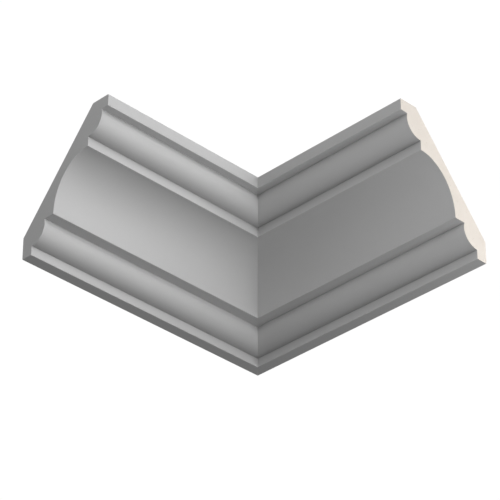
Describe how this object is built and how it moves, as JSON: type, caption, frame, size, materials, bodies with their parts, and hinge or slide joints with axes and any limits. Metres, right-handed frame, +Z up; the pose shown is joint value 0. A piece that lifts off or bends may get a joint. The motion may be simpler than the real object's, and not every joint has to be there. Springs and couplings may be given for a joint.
{
  "type": "mitred cornice moulding corner",
  "caption": "Inside corner of cornice moulding: lengths mitred together, stepped face of ovolos and a cove, flat wall and ceiling edges, sloping back, square outer ends.",
  "frame": {"origin": "middle of the underside of the whole corner's box; the corner of the room is 0.129 m along +X and 0.125 m along +Y from it, at the same height", "axes": "+Z up towards the ceiling, +Y square to the wall that the left length is fixed on, +X square to the wall that the right length is fixed on; the room lies towards -X and -Y"},
  "size_m": [0.258, 0.25, 0.11],
  "materials": {
    "left_primer": "matt light grey sprayed primer on the face and the outer end, bare cream moulded foam on the back",
    "right_primer": "matt light grey sprayed primer on the face, bare cream moulded foam on the cut end and the back"
  },
  "bodies": {
    "root": {"left_length": "left_primer", "right_length": "right_primer"}
  },
  "joints": []
}
